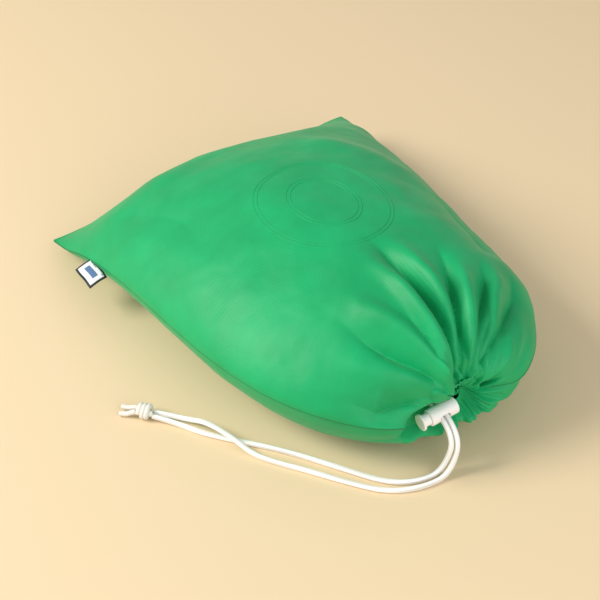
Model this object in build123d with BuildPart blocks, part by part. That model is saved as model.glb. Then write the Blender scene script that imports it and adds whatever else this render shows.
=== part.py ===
"""Small drawstring laundry bag, drawn shut and lying on its back panel, in millimetres.

+Z is up, the mouth points along -Y and the closed bottom seam lies along +Y.
The origin is on the surface that the bag lies on, under the middle of the back panel.
"""
from build123d import *
import math
import os

# Bag body
bottom_seam_y = 160.0
wall = 1.5              # cloth and its small wrinkles, as one skin
seam_gap = 1.2          # thickness of the overlocked allowance between the panels
seam_depth = 5.0        # how far the allowance reaches into the bag
floor_dip = 0.5         # the back panel is modelled this far under the floor and cut flat

# Gathered mouth
mouth_x, mouth_z = 16.0, 50.0
casing_front_y = -190.0
casing_depth = 12.0
casing_outer_r = 25.0
casing_hole_r = 5.0
casing_fit = 0.3
channel_r = 20.0        # radius of the hem tunnel that the cord runs in

# Cord
cord_d = 4.0
cord_fit = 0.2
strand_spacing = cord_d + 0.4
floor_lift = 0.05

# Cord lock
lock_tilt = 5.1         # degrees that the button end hangs down
lock_gap = 0.4          # between the lock and the gathered casing
lock_slide = 4.0
barrel_r = 6.5
barrel_bore_r = 4.8
barrel_closed_end = 12.5
barrel_open_end = 11.0
barrel_end_wall = 1.4
stem_fit = 0.05
button_travel = 3.0
button_thickness = 2.0
neck_length = 5.5
stem_end_wall = 1.6
slot_width = cord_d + 0.8
spring_wire_d = 0.6
spring_r = 3.4
spring_turns = 3

# Woven label
label_length, label_depth, label_thickness = 25.0, 14.0, 0.8
label_y = 82.0

# y, half width, top, underside, seam height, middle x, wall factor, roundness of the section
sections = [
    (bottom_seam_y, 144.5, 24.0, 16.0, 20.0, 0.0, 1.0, 0.0),
    (140.0, 143.5, 52.0, 5.0, 25.0, 0.0, 1.0, 0.0),
    (110.0, 141.0, 80.0, -floor_dip, 34.0, 0.0, 1.0, 0.0),
    (30.0, 135.0, 114.0, -floor_dip, 46.0, 0.0, 1.0, 0.0),
    (-70.0, 125.5, 124.0, -floor_dip, 50.0, 0.0, 1.0, 0.0),
    (-120.0, 119.0, 121.0, 1.0, 50.0, 2.0, 1.0, 0.0),
    (-160.0, 102.0, 111.0, 8.0, 50.0, 6.0, 1.2, 0.2),
    (-178.0, 78.0, 97.0, 15.0, 50.0, 11.0, 1.7, 0.6),
]
mouth_wall_factor = 2.2
mouth_r = casing_outer_r + casing_fit + wall * mouth_wall_factor
sections.append((casing_front_y, mouth_r, mouth_z + mouth_r, mouth_z - mouth_r, mouth_z,
                 mouth_x, mouth_wall_factor, 1.0))

profile_steps = (-1.0, -0.92, -0.72, -0.4, 0.0, 0.4, 0.72, 0.92, 1.0)


def arch(half_width, height, sharp, blunt):
    """Points of one arched half section, from the left seam to the right seam."""
    return [(half_width * s, height * (1 - abs(s) ** sharp) ** blunt) for s in profile_steps]


def blend(a, b, share):
    return a + (b - a) * share


def panel(side):
    """The closed solid of one cloth panel: side is +1 for the front and -1 for the back."""
    with BuildPart() as cloth:
        for y, half, top, low, seam, mid, factor, roundness in sections:
            skin = wall * factor
            edge = seam_gap / 2
            height = (top - seam if side > 0 else seam - low) - edge
            sharp = blend(2.1 if side > 0 else 3.2, 2.0, roundness)
            blunt = blend(0.75 if side > 0 else 0.6, 0.5, roundness)
            outer = [(mid + x, seam + side * (edge + z)) for x, z in arch(half, height, sharp, blunt)]
            inner = [(mid + x, seam + side * (edge + z))
                     for x, z in arch(half - skin, height - skin, sharp, blunt)]
            with BuildSketch(Plane.XZ.offset(-y)):
                with BuildLine():
                    Spline(*outer)
                    Line(outer[-1], inner[-1])
                    Spline(*reversed(inner))
                    Line(inner[0], outer[0])
                make_face()
        loft(ruled=True)
        split(bisect_by=Plane.XY, keep=Keep.TOP)
    return cloth.part


front_panel = panel(1)
back_panel = panel(-1)


def seam_height(y):
    """Height of the side seam at y, in line with the panels' straight spans."""
    for (y0, _, _, _, z0, *_), (y1, _, _, _, z1, *_) in zip(sections, sections[1:]):
        if y1 <= y <= y0:
            return blend(z0, z1, (y0 - y) / (y0 - y1))
    return mouth_z


def side_seam(side):
    """The overlocked seam allowance down one side, between the two panels."""
    with BuildPart() as strip:
        for y, half, _, _, seam, mid, *_ in sections:
            with BuildSketch(Plane.XZ.offset(-y)):
                with Locations((mid + side * (half - seam_depth / 2), seam)):
                    Rectangle(seam_depth, seam_gap - 0.1)
        loft(ruled=True)
    return strip.part


left_seam = side_seam(-1)
right_seam = side_seam(1)

with BuildPart() as bottom_seam:
    strip_half = sections[1][1] - seam_depth - 2 * wall
    for y in (bottom_seam_y, bottom_seam_y - seam_depth):
        with BuildSketch(Plane.XZ.offset(-y)):
            with Locations((0, seam_height(y))):
                Rectangle(2 * strip_half, seam_gap - 0.1)
    loft(ruled=True)

# The gathered hem tunnel, with its channel and the buttonhole that the cord leaves by
channel_y = casing_front_y + casing_depth / 2
exit_x, exit_z = -3.0, 43.0
tilt = math.radians(lock_tilt)
barrel_axis = Vector(-math.cos(tilt), 0, -math.sin(tilt))
mouth_plane = Plane(origin=(mouth_x, 0, mouth_z), x_dir=(1, 0, 0), z_dir=(0, 0, 1))
mouth_axis = Axis((mouth_x, 0, mouth_z), (0, 1, 0))
exit_plane = Plane(origin=(exit_x, channel_y, exit_z), x_dir=barrel_axis, z_dir=(0, -1, 0))

with BuildPart() as mouth_casing:
    with BuildSketch(mouth_plane):
        with Locations(((casing_hole_r + casing_outer_r) / 2, channel_y)):
            Rectangle(casing_outer_r - casing_hole_r, casing_depth)
        with Locations((channel_r, channel_y)):
            Circle(cord_d / 2 + cord_fit, mode=Mode.SUBTRACT)
    revolve(axis=mouth_axis)
    with BuildSketch(exit_plane):
        SlotCenterToCenter(strand_spacing, cord_d + 2 * cord_fit)
    extrude(amount=casing_depth, mode=Mode.SUBTRACT)

with BuildPart() as drawstring_loop:
    with BuildSketch(mouth_plane):
        with Locations((channel_r, channel_y)):
            Circle(cord_d / 2)
    revolve(axis=mouth_axis)

stitch_length, stitch_width, stitch_height = 2.6, 0.6, 0.4
stitch_ring_r = 13.0
stitch_count = 24
casing_face = Plane(origin=(mouth_x, casing_front_y, mouth_z), x_dir=(1, 0, 0), z_dir=(0, -1, 0))
with BuildPart() as casing_stitching:
    with BuildSketch(casing_face):
        with PolarLocations(stitch_ring_r, stitch_count):
            Rectangle(stitch_width, stitch_length)
    extrude(amount=stitch_height)

bartack_length, bartack_width = 5.0, 1.2
bartack_offset = strand_spacing / 2 + cord_d / 2 + cord_fit + bartack_width
exit_face = Plane(origin=(exit_x, casing_front_y, exit_z), x_dir=barrel_axis, z_dir=(0, -1, 0))
bartack_height = lock_gap - 0.1
with BuildPart() as exit_bartacks:
    with BuildSketch(exit_face):
        with Locations((-bartack_offset, 0), (bartack_offset, 0)):
            Rectangle(bartack_width, bartack_length)
    extrude(amount=bartack_height)

# Free cord: two strands side by side from the buttonhole, through the lock, down to the
# surface, round in one long curve, strand a over strand b, to the knot that joins them
lie = cord_d / 2 + floor_lift
start_y = channel_y - cord_d / 2 - floor_lift
knot_z = 6.5
join_z = 5.0
half_gap = strand_spacing / 2 * math.cos(tilt)
half_drop = strand_spacing / 2 * math.sin(tilt)
strand_a_route = [
    (exit_x + half_gap, start_y, exit_z + half_drop), (exit_x + half_gap, -225, exit_z + half_drop),
    (-6, -227, lie), (-31, -227, lie), (-57, -213, lie), (-76, -189, lie), (-95, -163, lie),
    (-110, -145, lie), (-121, -128, lie), (-128, -113, 9.5), (-137, -87, 9.5),
    (-145, -71, lie), (-163.4, -53.4, join_z),
]
strand_b_route = [
    (exit_x - half_gap, start_y, exit_z - half_drop), (exit_x - half_gap, -225, exit_z - half_drop),
    (-10.6, -221, lie), (-31, -220.5, lie), (-53, -205, lie), (-73, -174, lie), (-92, -147, lie),
    (-108, -127, lie), (-126, -108, lie), (-143, -88, lie), (-153, -71, lie),
    (-166.6, -56.6, join_z),
]


def strand(name, route):
    """A cord tube of straight runs and arcs, each arc as large as its two runs allow."""
    points = [Vector(*p) for p in route]
    radii = []
    for a, b, c in zip(points, points[1:], points[2:]):
        turn = math.radians((b - a).get_angle(c - b))
        shorter = min((b - a).length, (c - b).length)
        radii.append(0.45 * shorter / math.tan(turn / 2))
    with BuildPart() as tube:
        with BuildLine() as path:
            FilletPolyline(*points, radius=radii)
        centreline = path.wire()
        with BuildSketch(Plane(origin=centreline @ 0, z_dir=centreline % 0)):
            Circle(cord_d / 2)
        sweep()
    expected = math.pi * (cord_d / 2) ** 2 * centreline.length
    print(name, "length", round(centreline.length, 1), "smallest radius", round(min(radii), 1),
          "volume over section x length", round(tube.part.volume / expected, 4))
    return tube.part


strand_a = strand("strand_a", strand_a_route)
strand_b = strand("strand_b", strand_b_route)

# Overhand knot as one barrel shape, with the two cut tails beyond it
knot_length, knot_r, knot_face_r = 14.0, 6.5, 5.2
knot_direction = Vector(-1, 1, 0).normalized()
knot_start = Vector(-165.0, -55.0, knot_z) + knot_direction * 0.1
knot_plane = Plane(origin=knot_start, x_dir=(0, 0, 1), z_dir=knot_direction)
with BuildPart() as end_knot:
    for along, radius in ((0, knot_face_r), (knot_length / 2, knot_r), (knot_length, knot_face_r)):
        with BuildSketch(knot_plane.offset(along)):
            Circle(radius)
    loft(ruled=True)

tail_length = 12.0
tail_start = knot_start + knot_direction * (knot_length + 0.1)
tail_plane = Plane(origin=tail_start, x_dir=(0, 0, 1), z_dir=knot_direction)
with BuildPart() as knot_tails:
    with BuildSketch(tail_plane):
        with Locations((0, -strand_spacing / 2), (0, strand_spacing / 2)):
            Circle(cord_d / 2)
    extrude(amount=tail_length)

# Cord lock
lock_y = casing_front_y - lock_gap - barrel_r
lock_centre = Vector(exit_x, lock_y, exit_z)
lock_plane = Plane(origin=lock_centre, x_dir=(0, 1, 0), z_dir=barrel_axis)
cord_plane = Plane(origin=lock_centre, x_dir=barrel_axis, z_dir=(0, -1, 0))
slot_half = strand_spacing / 2 + slot_width / 2

with BuildPart() as lock_barrel:
    with BuildSketch(lock_plane.offset(-barrel_closed_end)):
        Circle(barrel_r)
    extrude(amount=barrel_closed_end + barrel_open_end)
    fillet(edges().filter_by(GeomType.CIRCLE), radius=1.0)
    with BuildSketch(lock_plane.offset(barrel_end_wall - barrel_closed_end)):
        Circle(barrel_bore_r)
    extrude(amount=barrel_closed_end + barrel_open_end, mode=Mode.SUBTRACT)
    with BuildSketch(cord_plane):
        SlotCenterToCenter(strand_spacing, slot_width)
    extrude(amount=2 * barrel_r, both=True, mode=Mode.SUBTRACT)

stem_inner_end = -slot_half - stem_end_wall
button_start = barrel_open_end + neck_length
with BuildPart() as lock_plunger:
    with BuildSketch(lock_plane.offset(stem_inner_end)):
        Circle(barrel_bore_r - stem_fit)
    extrude(amount=button_start - stem_inner_end)
    with BuildSketch(lock_plane.offset(button_start)):
        Circle(barrel_r)
    extrude(amount=button_thickness)
    fillet(edges().filter_by(GeomType.CIRCLE).group_by(SortBy.RADIUS)[-1], radius=0.6)
    with BuildSketch(cord_plane):
        with Locations((button_travel / 2, 0)):
            SlotCenterToCenter(strand_spacing + button_travel, slot_width)
    extrude(amount=2 * barrel_r, both=True, mode=Mode.SUBTRACT)

spring_seat = barrel_end_wall - barrel_closed_end + spring_wire_d / 2 + stem_fit
spring_height = stem_inner_end - spring_wire_d / 2 - stem_fit - spring_seat
with BuildPart() as lock_spring:
    with BuildLine() as coil:
        Helix(pitch=spring_height / spring_turns, height=spring_height, radius=spring_r,
              center=lock_centre + barrel_axis * spring_seat, direction=barrel_axis)
    with BuildSketch(Plane(origin=coil.line @ 0, z_dir=coil.line % 0)):
        Circle(spring_wire_d / 2)
    sweep(is_frenet=True)

# Woven label, folded and caught in the left seam, with its row of stitches
label_inner_x = -(blend(sections[2][1], sections[3][1], (sections[2][0] - label_y) / 80) + 0.3)
label_z = seam_height(label_y)
seam_slope = math.degrees(math.atan((sections[2][1] - sections[3][1]) / (sections[2][0] - sections[3][0])))
label_plane = Plane.XY.offset(label_z)
with BuildPart() as woven_label:
    with BuildSketch(label_plane):
        with Locations((label_inner_x - label_depth / 2, label_y)):
            Rectangle(label_depth, label_length, rotation=seam_slope)
    extrude(amount=label_thickness / 2, both=True)

label_stitch_count = 6
with BuildPart() as label_stitching:
    with BuildSketch(label_plane.offset(label_thickness / 2)):
        with Locations((label_inner_x - 1.6, label_y)):
            with GridLocations(1, label_length / (label_stitch_count + 1), 1, label_stitch_count):
                Rectangle(stitch_width, stitch_length)
    extrude(amount=0.3)

os.makedirs("parts", exist_ok=True)
pieces = {
    "front_panel": front_panel, "back_panel": back_panel,
    "left_seam": left_seam, "right_seam": right_seam, "bottom_seam": bottom_seam.part,
    "mouth_casing": mouth_casing.part, "casing_stitching": casing_stitching.part,
    "exit_bartacks": exit_bartacks.part, "drawstring_loop": drawstring_loop.part,
    "strand_a": strand_a, "strand_b": strand_b,
    "end_knot": end_knot.part, "knot_tails": knot_tails.part,
    "lock_barrel": lock_barrel.part, "lock_plunger": lock_plunger.part,
    "lock_spring": lock_spring.part,
    "woven_label": woven_label.part, "label_stitching": label_stitching.part,
}
for name, piece in pieces.items():
    piece.label = name
    export_step(piece, f"parts/{name}.step")
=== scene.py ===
# %% [markdown]
# # A small drawstring laundry bag
# The bag lies on its back panel, drawn shut, with its cord lock at the mouth and its cord trailing
# round to a knot. This lesson models it in metres around a fixed frame, piece by piece: the camera
# and the cords first, then the cloth, the gathered mouth, the lock, the knot and the label.

# %% Load the frame
import math

import bmesh
import bpy
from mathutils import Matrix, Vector, noise


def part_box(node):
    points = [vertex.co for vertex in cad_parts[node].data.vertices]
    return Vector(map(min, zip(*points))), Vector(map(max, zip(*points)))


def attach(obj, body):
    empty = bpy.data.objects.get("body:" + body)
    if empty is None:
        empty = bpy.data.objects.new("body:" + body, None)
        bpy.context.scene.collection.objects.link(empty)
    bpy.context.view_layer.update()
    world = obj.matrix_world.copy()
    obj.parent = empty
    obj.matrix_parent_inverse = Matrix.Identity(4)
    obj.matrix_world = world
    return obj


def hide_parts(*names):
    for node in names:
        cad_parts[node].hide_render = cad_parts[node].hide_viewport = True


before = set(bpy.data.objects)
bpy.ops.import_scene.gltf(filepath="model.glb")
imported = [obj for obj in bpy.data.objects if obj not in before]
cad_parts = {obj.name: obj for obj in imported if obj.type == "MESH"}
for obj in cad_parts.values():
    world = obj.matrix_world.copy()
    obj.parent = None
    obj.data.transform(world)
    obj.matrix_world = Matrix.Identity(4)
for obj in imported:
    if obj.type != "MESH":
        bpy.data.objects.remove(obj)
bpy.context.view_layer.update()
MM = 0.001

# %% [markdown]
# The camera looks down on the bag from its front left. It stands 1.3 m away with a long lens, so
# that parallel seams stay nearly parallel, and it aims at the middle of the surface under the bag.

# %% Camera
AZIMUTH, ELEVATION, DISTANCE = math.radians(-32), math.radians(42), 1.3
SENSOR_WIDTH_MM, LENS_MM = 36, 95.1
camera = bpy.data.objects.new("camera", bpy.data.cameras.new("camera"))
bpy.context.collection.objects.link(camera)
back = Vector((math.sin(AZIMUTH) * math.cos(ELEVATION), -math.cos(AZIMUTH) * math.cos(ELEVATION),
               math.sin(ELEVATION)))
camera.location = back * DISTANCE
camera.rotation_euler = back.to_track_quat("Z", "Y").to_euler()
camera.data.sensor_width, camera.data.lens = SENSOR_WIDTH_MM, LENS_MM
bpy.context.scene.camera = camera
print("camera at", [round(v, 3) for v in camera.location])


# %% [markdown]
# Every material here is built from nodes. Small helpers keep that short: one turns sRGB colours
# that a swatch shows into the linear values that a shader wants, and one adds a node. Two more
# start a material and blend its two tones.

# %% Material helpers
def linear(hex_colour):
    """An sRGB colour such as "#0cae6a" as linear red, green, blue and alpha."""
    values = [int(hex_colour[i:i + 2], 16) / 255 for i in (1, 3, 5)]
    return [v / 12.92 if v <= 0.04045 else ((v + 0.055) / 1.055) ** 2.4 for v in values] + [1]


def add_node(tree, kind, inputs=(), **settings):
    """Adds a node; inputs maps a socket's name or number to a value or to another node's output."""
    made = tree.nodes.new(kind)
    for name, value in settings.items():
        setattr(made, name, value)
    for key, value in dict(inputs).items():
        if isinstance(value, bpy.types.NodeSocket):
            tree.links.new(value, made.inputs[key])
        else:
            made.inputs[key].default_value = value
    return made


def new_material(name, **sockets):
    """A material, its node tree and its shader; each keyword sets a socket, with _ for a space."""
    material = bpy.data.materials.new(name)
    material.use_nodes = True
    shader = material.node_tree.nodes["Principled BSDF"]
    for key, value in sockets.items():
        shader.inputs[key.replace("_", " ")].default_value = value
    return material, material.node_tree, shader


def two_tone(tree, factor, dark_stop, light_stop):
    """A colour that runs from one (position, hex colour) stop to the other as factor rises."""
    ramp = add_node(tree, "ShaderNodeValToRGB", {"Fac": factor})
    for element, (position, colour) in zip(ramp.color_ramp.elements, (dark_stop, light_stop)):
        element.position = position
        element.color = linear(colour)
    return ramp.outputs["Color"]


# %% [markdown]
# The bag is plain-woven polyester. Filament yarn is smooth, so the cloth has a soft satin sheen
# and shows its weave only close up. The real yarns are 0.25 mm apart, too fine to show here, so
# the weave is drawn at 1.7 mm, along the panels' own UV map, with small wrinkles over it. A piece
# with no UV map, such as a seam, the hem or the label, shows only the colour and the wrinkles.

# %% Woven polyester
WAVE_SCALE = 314  # scale at which a wave texture in metres has a 1 mm period
CLOTH_YARN, FINE_YARN = 1.7, 0.4  # periods of the drawn weave in mm: the bag, thread and damask


def woven_polyester(name, light, dark, yarn=CLOTH_YARN, wrinkle=0.3):
    material, tree, shader = new_material(name, Roughness=0.5, Sheen_Weight=0.12, Sheen_Roughness=0.4,
                                          Specular_IOR_Level=0.35, IOR=1.5)
    shader.inputs["Sheen Tint"].default_value = linear("#c8f0cf")
    place = add_node(tree, "ShaderNodeTexCoord")
    waves = []
    for direction in ("X", "Y"):
        wave = add_node(tree, "ShaderNodeTexWave",
                        {"Vector": place.outputs["UV"], "Scale": WAVE_SCALE / yarn,
                         "Distortion": 0.4, "Detail": 1.0}, bands_direction=direction)
        waves.append(wave.outputs["Fac"])
    weave = add_node(tree, "ShaderNodeMath", {0: waves[0], 1: waves[1]}, operation="MULTIPLY")
    mottle = add_node(tree, "ShaderNodeTexNoise", {"Vector": place.outputs["Object"], "Scale": 18.0,
                                                   "Detail": 4.0, "Roughness": 0.6})
    crease = add_node(tree, "ShaderNodeTexNoise", {"Vector": place.outputs["Object"], "Scale": 55.0,
                                                   "Detail": 3.0, "Roughness": 0.5, "Distortion": 0.6})
    tree.links.new(two_tone(tree, mottle.outputs["Fac"], (0.3, dark), (0.7, light)),
                   shader.inputs["Base Color"])
    fine = add_node(tree, "ShaderNodeBump", {"Height": weave.outputs[0], "Strength": 0.22,
                                             "Distance": 0.0003})
    coarse = add_node(tree, "ShaderNodeBump", {"Height": crease.outputs["Fac"], "Strength": wrinkle,
                                               "Distance": 0.0012, "Normal": fine.outputs["Normal"]})
    tree.links.new(coarse.outputs["Normal"], shader.inputs["Normal"])
    return material


bag_cloth = woven_polyester("woven_polyester_green", "#0cae6a", "#089c5c")
# This darker green is painted shade on the side seam ridges: it draws the shadow line along each seam.
# The label's stitches take it too.
thread_and_seam_shade = woven_polyester("thread_green_and_painted_seam_shade", "#0a8c50", "#077a44",
                              FINE_YARN, 0.1)
label_cloth = woven_polyester("woven_damask_label", "#e8ecf0", "#dde2e8", FINE_YARN, 0.05)
label_blue = woven_polyester("woven_damask_label_band", "#5b7ba6", "#4c6c97", FINE_YARN, 0.05)
label_edge = woven_polyester("woven_damask_label_edge", "#22262c", "#1a1d22", FINE_YARN, 0.05)
for cloth in (bag_cloth, thread_and_seam_shade, label_cloth, label_blue, label_edge):
    print("cloth material:", cloth.name)

# %% [markdown]
# The cord is a round braid of white polyester yarn, 4 mm thick. Its strands cross at a slant, so
# two sets of slanting bands on each curve's own UV map stand for the braid. The knot and its
# tails are meshes with no UV map, so they have the braid's colour without its bands.

# %% Braided polyester cord
def braided_polyester(name, light, dark):
    material, tree, shader = new_material(name, Roughness=0.75, Sheen_Weight=0.25, IOR=1.5)
    place = add_node(tree, "ShaderNodeTexCoord")
    bands = []
    for slant in (1, -1):
        turned = add_node(tree, "ShaderNodeMapping", {"Vector": place.outputs["UV"],
                                                      "Rotation": (0, 0, slant * math.radians(45))})
        wave = add_node(tree, "ShaderNodeTexWave", {"Vector": turned.outputs[0], "Scale": 1.1,
                                                    "Distortion": 0.6, "Detail": 1.0})
        bands.append(wave.outputs["Fac"])
    braid = add_node(tree, "ShaderNodeMath", {0: bands[0], 1: bands[1]}, operation="MAXIMUM")
    tree.links.new(two_tone(tree, braid.outputs[0], (0.2, dark), (0.9, light)),
                   shader.inputs["Base Color"])
    bump = add_node(tree, "ShaderNodeBump", {"Height": braid.outputs[0], "Strength": 0.5,
                                             "Distance": 0.0005})
    tree.links.new(bump.outputs["Normal"], shader.inputs["Normal"])
    return material


cord_braid = braided_polyester("braided_polyester_white", "#ffffff", "#e6e3dc")
print("cord material:", cord_braid.name)


# %% [markdown]
# The lock is moulded polypropylene: an even, slightly waxy white with a soft gloss. Light goes a
# little way into it, and fine texture from the mould breaks up the highlight. The spring inside
# is drawn steel wire, which needs no pattern.

# %% Moulded polypropylene
def moulded_polypropylene(name, light, dark):
    material, tree, shader = new_material(name, Roughness=0.32, IOR=1.49, Subsurface_Weight=0.15,
                                          Subsurface_Scale=0.002)
    place = add_node(tree, "ShaderNodeTexCoord")
    grain = add_node(tree, "ShaderNodeTexNoise", {"Vector": place.outputs["Object"], "Scale": 900.0,
                                                  "Detail": 2.0})
    tone = add_node(tree, "ShaderNodeTexNoise", {"Vector": place.outputs["Object"], "Scale": 60.0})
    tree.links.new(two_tone(tree, tone.outputs["Fac"], (0.3, dark), (0.7, light)),
                   shader.inputs["Base Color"])
    bump = add_node(tree, "ShaderNodeBump", {"Height": grain.outputs["Fac"], "Strength": 0.08,
                                             "Distance": 0.0001})
    tree.links.new(bump.outputs["Normal"], shader.inputs["Normal"])
    return material


lock_plastic = moulded_polypropylene("moulded_polypropylene_white", "#ffffff", "#f8f6f1")
spring_wire, _, spring_shader = new_material("drawn_spring_steel", Metallic=1.0, Roughness=0.3)
spring_shader.inputs["Base Color"].default_value = linear("#b9bcc0")
print("lock materials:", lock_plastic.name, spring_wire.name)


# %% [markdown]
# Two strands of limp cord leave the lock side by side, drop to the table and run round in one
# long curve, crossing once before the knot. Each is one smooth NURBS curve whose control points
# are listed, with its bevel as the cord's thickness. The pieces themselves are made
# later, once the knot that they end in is there.

# %% Free cord
CORD_D = 4.0
STRANDS = {
    "strand_a": [(-0.81, -186.05, 43.2), (-0.81, -220, 43.2), (-8, -221, 2.05), (-33, -221, 2.05),
                 (-57, -211, 2.05), (-76, -189, 2.05), (-95, -163, 2.05), (-110, -145, 2.05),
                 (-121, -128, 2.05), (-128, -113, 9.5), (-137, -87, 9.5), (-145, -71, 2.05),
                 (-163.4, -53.4, 5)],
    "strand_b": [(-5.19, -186.05, 42.8), (-5.19, -220, 42.8), (-12, -215.5, 2.05), (-33, -214.5, 2.05),
                 (-53, -203, 2.05), (-73, -174, 2.05), (-92, -147, 2.05), (-108, -127, 2.05),
                 (-126, -108, 2.05), (-143, -88, 2.05), (-153, -71, 2.05), (-166.6, -56.6, 5)],
}


def cord_curve(name, route, thickness):
    """A NURBS curve object through a route in mm, as round as its thickness in mm."""
    curve = bpy.data.curves.new(name, "CURVE")
    curve.dimensions = "3D"
    spline = curve.splines.new("NURBS")
    spline.points.add(len(route) - 1)
    for point, place in zip(spline.points, route):
        point.co = (*(v * MM for v in place), 1)
    spline.order_u = 3
    spline.use_endpoint_u = True
    spline.resolution_u = 16
    curve.bevel_depth = thickness / 2 * MM
    curve.bevel_resolution = 5
    piece = bpy.data.objects.new(name, curve)
    bpy.context.collection.objects.link(piece)
    return piece


def curve_length(points):
    return sum((b - a).length for a, b in zip(points, points[1:]))


def spline_points(route):
    """The smooth line that a route's NURBS curve follows, in metres."""
    bare = cord_curve("probe", route, 0)
    mesh = bpy.data.meshes.new_from_object(bare)
    points = [v.co.copy() for v in mesh.vertices]
    bpy.data.objects.remove(bare)
    bpy.data.meshes.remove(mesh)
    return points


# %% [markdown]
# Meshes are built with bmesh. The first helper makes a finished mesh an object at the origin,
# gives it its material, smooths its shading and lets it ride on the bag. The second sweeps a ring
# along a line, for a cord or a seam that is a mesh. The third gives a CAD node that keeps its own
# shape its material.

# %% Mesh helpers
def add_piece(name, bm, material):
    bmesh.ops.recalc_face_normals(bm, faces=bm.faces)
    mesh = bpy.data.meshes.new(name)
    bm.to_mesh(mesh)
    bm.free()
    for face in mesh.polygons:
        face.use_smooth = True
    mesh.materials.append(material)
    piece = bpy.data.objects.new(name, mesh)
    bpy.context.collection.objects.link(piece)
    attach(piece, "bag")
    print(name, "has", len(mesh.polygons), "faces")
    return piece


def tube_along(bm, points, radius, sides, closed=False):
    """Sweeps a ring of the given radius along points, joining each ring to the next."""
    rings = []
    normal = None
    for i, point in enumerate(points):
        ahead = points[(i + 1) % len(points)] if closed or i < len(points) - 1 else point
        behind = points[i - 1] if closed or i else point
        along = (ahead - behind).normalized()
        if normal is None:
            normal = along.orthogonal().normalized()
        normal = (normal - along * normal.dot(along)).normalized()
        side = along.cross(normal)
        rings.append([bm.verts.new(point + (normal * math.cos(a) + side * math.sin(a)) * radius)
                      for a in (2 * math.pi * k / sides for k in range(sides))])
    pairs = list(zip(rings, rings[1:])) + ([(rings[-1], rings[0])] if closed else [])
    for ring, after in pairs:
        for k in range(sides):
            bm.faces.new((ring[k], ring[(k + 1) % sides], after[(k + 1) % sides], after[k]))
    if not closed:
        bm.faces.new(rings[0])
        bm.faces.new(rings[-1])


def finish_node(node_name, material):
    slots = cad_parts[node_name].data.materials
    slots.clear()
    slots.append(material)
    print(node_name, "keeps its CAD shape, in", material.name)


# %% [markdown]
# The two panels are one shape: a pillow that is nearly flat at the bottom seam, highest near the
# mouth, and gathered into a small hole. It is described by a few sections along its length, with
# smooth curves between them. Each panel starts as a flat grid whose points are then moved onto
# that shape, and folds are ridges and creases added along listed lines.

# %% Shape of the bag
SECTIONS = [  # along Y: y, half width, top, underside, seam height, middle x
    (160, 144, 20.9, 20.1, 20.5, 0), (151, 143.6, 36, 9, 23, 0), (135, 142.8, 60, 3, 27, 0),
    (110, 141, 82, 0.5, 36, 0), (70, 138, 103, 0.5, 45, 0),
    (30, 135, 114, 0.5, 51, 0), (-20, 131, 120, 0.5, 55, 0), (-70, 125.5, 122, 0.5, 58, 0),
    (-110, 119, 120, 1, 60, 2), (-140, 110.5, 115, 4, 60, 5), (-165, 97, 107, 9, 58, 8),
    (-187, 78, 96, 17, 55, 11), (-201, 58, 85, 25, 53, 13), (-206, 40, 74, 32, 51, 15),
    (-203, 25, 67, 36, 50, 16), (-197, 13, 60, 41, 50, 16), (-189, 5.5, 55, 45, 50, 16),
]
MOUTH_X, MOUTH_Z = 16.0, 50.0


def section_at(along):
    """The section at 0 (bottom seam) to 1 (mouth hole), by a smooth curve through the list."""
    place = along * (len(SECTIONS) - 1)
    i = min(int(place), len(SECTIONS) - 2)
    t = place - i
    rows = [SECTIONS[min(max(i + k, 0), len(SECTIONS) - 1)] for k in (-1, 0, 1, 2)]
    return [0.5 * (2 * b + (c - a) * t + (2 * a - 5 * b + 4 * c - d) * t ** 2
                   + (3 * b - a - 3 * c + d) * t ** 3)
            for a, b, c, d in zip(*rows)]


def smoothstep(low, high, value):
    """0 before low, 1 past high and a smooth rise between; low may be the greater of the two."""
    t = min(max((value - low) / (high - low), 0), 1)
    return t * t * (3 - 2 * t)


FOLDS = [  # height (crease is negative), width, then plan points, mostly outwards from the mouth
    (-21.0, 5.5, [(10, -203), (13, -190), (15, -168), (13, -146), (12, -124), (10, -100), (3, -78)]),
    (11.0, 7.0, [(2, -200), (2, -178), (1, -146), (-2, -120), (-8, -84)]),
    (8.0, 7.0, [(19, -198), (24, -172), (26, -146), (24, -112), (20, -84)]),
    (-17.0, 5.0, [(16, -203), (25, -180), (34, -152), (46, -127), (52, -104)]),
    (8.0, 6.0, [(22, -200), (38, -176), (50, -150), (64, -122)]),
    (-15.0, 5.0, [(23, -203), (46, -174), (69, -145), (84, -118)]),
    (7.0, 6.0, [(28, -202), (56, -176), (78, -152), (94, -128)]),
    (-12.0, 5.0, [(30, -203), (60, -184), (86, -160), (104, -132)]),
    (-14.0, 6.0, [(-6, -204), (-14, -196), (-28, -180), (-42, -158), (-54, -126)]),
    (8.0, 8.0, [(-3, -200), (-10, -182), (-21, -162), (-32, -138), (-40, -112)]),
    (-10.0, 4.0, [(3, -203), (-4, -190), (-7, -170), (-9, -146)]),
    (-12.0, 5.0, [(-14, -205), (-36, -199), (-54, -192), (-80, -166)]),
    (6.0, 8.0, [(-10, -202), (-30, -188), (-52, -172), (-74, -148)]),
    (-9.0, 3.0, [(20, -205), (23, -192), (27, -172), (31, -150)]),
    (-8.0, 3.0, [(27, -205), (38, -192), (52, -178), (64, -160)]),
    (-7.0, 3.0, [(4, -205), (2, -194), (-2, -180)]),
    (-4.0, 9.0, [(96, -110), (104, -60), (110, -10)]),
    (4.0, 16.0, [(60, 60), (90, 20), (112, -40)]),
    (-3.0, 14.0, [(-100, 90), (-84, 40), (-88, -20)]),
    (5.0, 20.0, [(-60, 118), (-20, 128), (60, 124)]),
]


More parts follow.
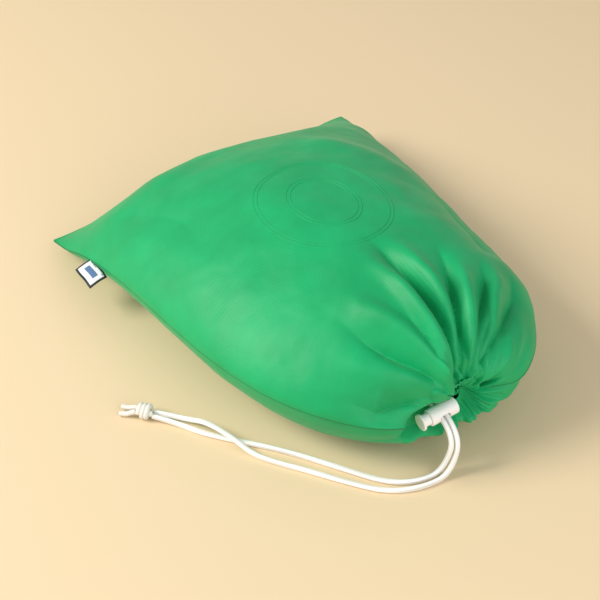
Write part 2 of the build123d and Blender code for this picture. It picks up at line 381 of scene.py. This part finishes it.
def fold_height(x, y):
    """Sum of every fold's height at a plan point, fading towards each fold's far end."""
    total = 0
    for height, width, line in FOLDS:
        best, fade = 1e9, 0
        for k, (a, b) in enumerate(zip(line, line[1:])):
            dx, dy = b[0] - a[0], b[1] - a[1]
            t = min(max(((x - a[0]) * dx + (y - a[1]) * dy) / (dx * dx + dy * dy), 0), 1)
            gap = math.hypot(x - a[0] - t * dx, y - a[1] - t * dy)
            if gap < best:
                best, fade = gap, (k + t) / (len(line) - 1)
        sharpness = 1.15 if height < 0 else 2
        total += height * math.exp(-(best / width) ** sharpness) * (1 - smoothstep(0.45, 1, fade))
    return total


DENT_FROM, DENT_TO = -24.0, 12.0  # 2 mm past each end of the lock
DENT_Y, DENT_Z = -188.0, 43.0     # just behind the lock, and the height of its middle
DENT_FULL, DENT_EDGE = 8.5, 19.0  # whole within the first distance of the lock, gone at the second


def lock_dent(point):
    """How far the lock, lying across the mouth, presses the cloth back towards +Y."""
    beside = max(DENT_FROM - point.x, point.x - DENT_TO, 0)
    gap = math.hypot(beside, point.z - DENT_Z)
    return max(DENT_Y - point.y, 0) * (1 - smoothstep(DENT_FULL, DENT_EDGE, gap))


TOP_POWERS, UNDERSIDE_POWERS = (2.1, 0.72), (3.2, 0.6)  # of a section's curve; 2 and 0.5 is an ellipse
GATHER = (0.78, 0.95)         # part of the length over which a section turns into an ellipse
PLEATS, PLEAT_DEPTH = 13, 4.0
PLEAT_RISE = (0.62, 0.86)     # part of the length over which the pleats deepen
LOWEST = 0.4                  # no point of a panel's grid is nearer the floor than this
LEFT_DROOP, RIGHT_LIFT = 7, 11  # at the bottom corners


def panel_point(across, along, side):
    """A point of the panel in metres: across runs -1 to 1 from seam to seam, side is +1 on top."""
    y, half, top, low, seam, middle = section_at(along)
    sharp, blunt = TOP_POWERS if side > 0 else UNDERSIDE_POWERS
    gather = smoothstep(*GATHER, along)
    sharp, blunt = sharp + (2 - sharp) * gather, blunt + (0.5 - blunt) * gather
    eased = math.sin(across * math.pi / 2)
    height = (top - seam) if side > 0 else (seam - low)
    x = middle + half * eased
    z = seam + side * height * max(1 - abs(eased) ** sharp, 0) ** blunt
    out = Vector((x - MOUTH_X, 0, z - MOUTH_Z)).normalized()
    angle = math.atan2(out.z, out.x)
    pleat = math.sin(PLEATS * angle + 1.3 * math.sin(3 * angle + 0.7))
    pleat += 0.4 * math.sin(31 * angle + 2)
    reach = smoothstep(*PLEAT_RISE, along) * (1 - 0.55 * smoothstep(0.93, 1, along))
    keep = 1 if side > 0 else smoothstep(3, 20, z)
    lift = pleat * PLEAT_DEPTH * reach * keep
    seed = Vector((x, y, z * side)) * 0.012
    soft = noise.noise(seed) * 3.5 + noise.noise(seed * 2.7) * 1.4 + noise.noise(seed * 7) * 0.35
    edge = smoothstep(0, 0.12, 1 - abs(across)) * smoothstep(0, 0.04, along)
    rise = soft * edge * keep * (1 - reach)
    point = Vector((x, y, z)) + out * (lift + rise * (0.4 if side < 0 else 0.6))
    if side > 0:
        steep = smoothstep(-140, -200, y)
        fold = fold_height(x, y) * smoothstep(0, 0.2, 1 - abs(across))
        fold *= 1 - smoothstep(0.88, 0.97, along)
        point += Vector((0, -0.6 * steep, 1 - 0.4 * steep)) * fold
        point.z += rise * 0.5
    pucker = math.sin(along * 260 + 2 * math.sin(along * 37)) * 0.5
    pucker *= 1 - smoothstep(0, 0.06, 1 - abs(across))
    point.z = max(point.z + pucker * side * edge, LOWEST)
    point.y += lock_dent(point)
    corner_left = smoothstep(-60, -140, x) * smoothstep(60, 160, y)
    corner_right = smoothstep(60, 140, x) * smoothstep(60, 160, y)
    point.z = max(point.z - LEFT_DROOP * corner_left + RIGHT_LIFT * corner_right, LOWEST)
    return point * MM


# %% [markdown]
# A panel's cloth is one grid, fine enough for a crease a few millimetres wide. Its UV map has the
# cloth's flat size in metres, and a live modifier gives it thickness.

# %% Panels
PANEL_FLAT = (0.34, 0.42)
PANEL_COLUMNS, PANEL_ROWS = 190, 300
CLOTH_WALL = 0.0006


def cloth_panel(name, node, side):
    bm = bmesh.new()
    bmesh.ops.create_grid(bm, x_segments=PANEL_COLUMNS, y_segments=PANEL_ROWS, size=1, calc_uvs=False)
    uv = bm.loops.layers.uv.new("cloth")
    for face in bm.faces:
        for loop in face.loops:
            loop[uv].uv = (loop.vert.co.x * PANEL_FLAT[0] / 2, loop.vert.co.y * PANEL_FLAT[1] / 2)
    for vert in bm.verts:
        vert.co = panel_point(vert.co.x, (vert.co.y + 1) / 2, side)
    piece = add_piece(name, bm, bag_cloth)
    thick = piece.modifiers.new("cloth_thickness", "SOLIDIFY")
    thick.thickness, thick.offset = CLOTH_WALL, -1
    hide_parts(node)
    return piece


front_cloth = cloth_panel("front_cloth", "front_panel", 1)
back_cloth = cloth_panel("back_cloth", "back_panel", -1)

# %% [markdown]
# The panels are sewn together inside out and turned, so each seam shows only as a fine ridge. A
# thin tube follows the edge that the two panels share. The side ones stop just short of the mouth, and
# their darker green is painted shade along the seam; the bottom one has the cloth's own colour.

# %% Seams
SIDE_SEAM_RADIUS, BOTTOM_SEAM_RADIUS, SEAM_SIDES = 0.9, 1.2, 6
SEAM_STEPS, SEAM_POINTS, BOTTOM_STEPS = 260, 244, 120


def seam_line(across):
    return [panel_point(across, k / SEAM_STEPS, 1) for k in range(SEAM_POINTS)]


for name, node, across in (("left_seam_ridge", "left_seam", -1),
                           ("right_seam_ridge", "right_seam", 1)):
    bm = bmesh.new()
    tube_along(bm, seam_line(across), SIDE_SEAM_RADIUS * MM, SEAM_SIDES)
    # The ridge's darker green is painted shade along the seam.
    ridge = add_piece(name, bm, thread_and_seam_shade)
    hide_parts(node)

bm = bmesh.new()
bottom_line = [panel_point(-1 + 2 * k / BOTTOM_STEPS, 0, 1) for k in range(BOTTOM_STEPS + 1)]
tube_along(bm, bottom_line, BOTTOM_SEAM_RADIUS * MM, SEAM_SIDES)
bottom_ridge = add_piece("bottom_seam_ridge", bm, bag_cloth)
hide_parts("bottom_seam")

# %% [markdown]
# Round the mouth the hem is a flat tunnel of doubled cloth, drawn up by the cord into tight
# pleats. A circle's edges are extruded row by row into a short sleeve, rippled by angle. The sleeve
# stands for the hem's stitches and bartacks too, which have no shape of their own here. The cord's
# loop inside it keeps its CAD shape.

# %% Gathered casing
SLEEVE_STEPS, SLEEVE_ROWS = 160, 10
SLEEVE_FRONT, SLEEVE_LENGTH = -197.5, 14
HOLE_RADIUS, SLEEVE_FLARE = 5.2, 9
HEM_WALL = 0.0009


def casing_point(angle, along):
    """A point of the sleeve in metres; along runs from 0 at its open front to 1 at the back."""
    ripple = math.sin(PLEATS * 2 * angle + math.sin(3 * angle)) * (1.4 - along * 0.5)
    radius = HOLE_RADIUS + SLEEVE_FLARE * (1 - along) ** 1.5 + ripple
    point = Vector((MOUTH_X + radius * math.cos(angle), SLEEVE_FRONT + SLEEVE_LENGTH * along,
                    MOUTH_Z + radius * math.sin(angle)))
    point.y += lock_dent(point)
    return point * MM


bm = bmesh.new()
bmesh.ops.create_circle(bm, segments=SLEEVE_STEPS, radius=1)
edges = bm.edges[:]
for row in range(1, SLEEVE_ROWS + 1):
    made = bmesh.ops.extrude_edge_only(bm, edges=edges)
    verts = [v for v in made["geom"] if isinstance(v, bmesh.types.BMVert)]
    for vert in verts:
        vert.co.z = row / SLEEVE_ROWS
    edges = [e for e in made["geom"] if isinstance(e, bmesh.types.BMEdge)]
for vert in bm.verts:
    vert.co = casing_point(math.atan2(vert.co.y, vert.co.x), vert.co.z)
gathered_hem = add_piece("gathered_hem", bm, bag_cloth)
sleeve_wall = gathered_hem.modifiers.new("doubled_cloth", "SOLIDIFY")
sleeve_wall.thickness, sleeve_wall.offset = HEM_WALL, 1
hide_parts("mouth_casing", "casing_stitching", "exit_bartacks")
finish_node("drawstring_loop", cord_braid)

# %% [markdown]
# The knot is the cord wound round a core, with both cut ends beyond it. The two strands end in it,
# and each one's length along its curve is printed.

# %% Strands, knot and tails
KNOT_DIRECTION = Vector((-1, 1, 0)).normalized()
KNOT_HALF = 7  # mm from the strands' ends to the knot's middle
KNOT_CENTRE = Vector((-165, -55, 6.5)) + KNOT_DIRECTION * KNOT_HALF
KNOT_SIDE = KNOT_DIRECTION.cross(Vector((0, 0, 1)))
KNOT_WRAPS, KNOT_STEPS, CORE_RADIUS = 2.5, 70, 2.6
TAIL_LENGTH = 13
TUBE_SIDES = 14


def knot_point(turn):
    """A point of the cord's line as it winds round the core; turn runs from 0 to 1."""
    angle = turn * KNOT_WRAPS * 2 * math.pi
    along = (turn - 0.5) * 8
    swell = 4.0 + 0.5 * math.sin(angle * 2)
    return (KNOT_CENTRE + KNOT_DIRECTION * along + KNOT_SIDE * math.cos(angle) * swell
            + Vector((0, 0, 1)) * math.sin(angle) * swell * 0.95) * MM


bm = bmesh.new()
winding = [knot_point(k / KNOT_STEPS) for k in range(KNOT_STEPS + 1)]
tube_along(bm, winding, CORD_D / 2 * MM, TUBE_SIDES)
core = [(KNOT_CENTRE + KNOT_DIRECTION * s + KNOT_SIDE * 1.5 * math.sin(s / 3)) * MM
        for s in range(-KNOT_HALF, KNOT_HALF + 1)]
tube_along(bm, core, CORE_RADIUS * MM, TUBE_SIDES)
knot_wraps = add_piece("knot_wraps", bm, cord_braid)
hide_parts("end_knot")

bm = bmesh.new()
for offset, drop in ((-2.3, 3.6), (2.4, 2.6)):
    start = KNOT_CENTRE + KNOT_DIRECTION * 6 + KNOT_SIDE * offset
    tail = [(start + KNOT_DIRECTION * s + KNOT_SIDE * offset * 0.03 * s
             - Vector((0, 0, 1)) * drop * smoothstep(0, 9, s)) * MM for s in range(TAIL_LENGTH + 1)]
    tube_along(bm, tail, CORD_D / 2 * MM, TUBE_SIDES)
cut_tails = add_piece("cut_tails", bm, cord_braid)
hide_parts("knot_tails")

for name, route in STRANDS.items():
    piece = cord_curve(name + "_cord", route, CORD_D)
    piece.data.materials.append(cord_braid)
    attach(piece, "bag")
    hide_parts(name)
    real_length = curve_length(spline_points(route))
    print(name, "is", round(real_length / MM), "mm long")

# %% [markdown]
# Plain double ovals, one inside the other, are pressed into the front panel. Each of their lines
# stands up a little, so it is a thin tube that follows the cloth and rests on it.

# %% Pressed oval
OVAL_ACROSS, OVAL_ALONG = 0.02, 0.385  # its middle, as panel_point counts
OVAL_LINES = ((0.25, 0.075), (0.235, 0.0705), (0.13, 0.042), (0.115, 0.0375))  # half sizes
OVAL_STEPS, OVAL_SIDES, OVAL_RADIUS = 120, 6, 0.5

bm = bmesh.new()
turns = [2 * math.pi * k / OVAL_STEPS for k in range(OVAL_STEPS)]
for width, length in OVAL_LINES:
    loop = [panel_point(OVAL_ACROSS + width * math.cos(a), OVAL_ALONG + length * math.sin(a), 1)
            + Vector((0, 0, OVAL_RADIUS * MM)) for a in turns]
    tube_along(bm, loop, OVAL_RADIUS * MM, OVAL_SIDES, closed=True)
pressed_oval = add_piece("pressed_oval", bm, bag_cloth)

# %% [markdown]
# The lock's CAD bodies already have their true shape, with a fillet at each rim, so they keep it
# and only take their material. The same holds for the spring inside and the label's stitches.

# %% Cord lock
for node_name, material in (("lock_barrel", lock_plastic), ("lock_plunger", lock_plastic),
                            ("lock_spring", spring_wire), ("label_stitching", thread_and_seam_shade)):
    finish_node(node_name, material)

# %% [markdown]
# The label is a strip of woven damask, folded in half and caught in the side seam. Its place for
# a name is left bare: a dark border, a pale field and one plain band. Each is a thin grid that
# droops away from the seam and lies a little above the one before it.

# %% Woven label
LABEL_LOW, LABEL_HIGH = (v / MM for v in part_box("woven_label"))
LABEL_COLUMNS, LABEL_ROWS, LABEL_WALL = 16, 24, 0.0007
LABEL_DROOP, LABEL_REACH = 4.5, 15  # it hangs this much lower, this far out from the seam
print("label from", [round(v, 1) for v in LABEL_LOW], "to", [round(v, 1) for v in LABEL_HIGH])


def label_plate(name, inset, rise, material):
    low, high = LABEL_LOW.copy(), LABEL_HIGH.copy()
    low.x, low.y = low.x + inset, low.y + inset
    high.x, high.y = high.x - inset, high.y - inset
    bm = bmesh.new()
    bmesh.ops.create_grid(bm, x_segments=LABEL_COLUMNS, y_segments=LABEL_ROWS, size=0.5)
    for vert in bm.verts:
        x = low.x + (vert.co.x + 0.5) * (high.x - low.x)
        y = low.y + (vert.co.y + 0.5) * (high.y - low.y)
        droop = LABEL_DROOP * ((LABEL_HIGH.x - x) / LABEL_REACH) ** 1.6 + 0.5 * math.sin(y * 0.3)
        vert.co = Vector((x, y, LABEL_HIGH.z - droop + rise)) * MM
    plate = add_piece(name, bm, material)
    wall = plate.modifiers.new("folded_tape", "SOLIDIFY")
    wall.thickness = LABEL_WALL
    return plate


label_strip = label_plate("label_strip", inset=0, rise=0, material=label_edge)
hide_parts("woven_label")
label_plate("label_field", inset=1.6, rise=0.45, material=label_cloth)
label_plate("label_band", inset=5.6, rise=0.9, material=label_blue)

# %% [markdown]
# The flat size that each panel was cut to, before it was gathered, is printed.

# %% Cut size of the cloth
print("each panel was cut to", PANEL_FLAT, "m")

# %% [markdown]
# The bag lies on a plain pale floor in soft studio light: one wide lamp at the upper left makes
# the gentle modelling on the cloth, a weak one fills the shadow, and the world adds the rest.

# %% Floor and light
bm = bmesh.new()
bmesh.ops.create_grid(bm, x_segments=1, y_segments=1, size=4)
floor_mesh = bpy.data.meshes.new("floor")
bm.to_mesh(floor_mesh)
bm.free()
floor = bpy.data.objects.new("floor", floor_mesh)
bpy.context.collection.objects.link(floor)
paper, _, paper_shader = new_material("matt_paper_backdrop", Roughness=0.9)
paper_shader.inputs["Base Color"].default_value = linear("#e6d0ab")
floor_mesh.materials.append(paper)


def soft_lamp(name, place, size, power, colour):
    lamp = bpy.data.lights.new(name, "AREA")
    lamp.size, lamp.energy, lamp.color = size, power, linear(colour)[:3]
    holder = bpy.data.objects.new(name, lamp)
    holder.location = place
    holder.rotation_euler = Vector(place).to_track_quat("Z", "Y").to_euler()
    bpy.context.collection.objects.link(holder)
    print(name, "at", place)


soft_lamp("key_softbox", (-1.5, 0.6, 1.35), 0.9, 38, "#fffaf2")
soft_lamp("fill_softbox", (0.1, -1.7, 1.0), 1.8, 17, "#ffffff")
world = bpy.data.worlds.new("studio")
bpy.context.scene.world = world
world.use_nodes = True
world.node_tree.nodes["Background"].inputs["Color"].default_value = linear("#ffffff")
world.node_tree.nodes["Background"].inputs["Strength"].default_value = 0.45
bpy.context.scene.view_settings.view_transform = "Standard"
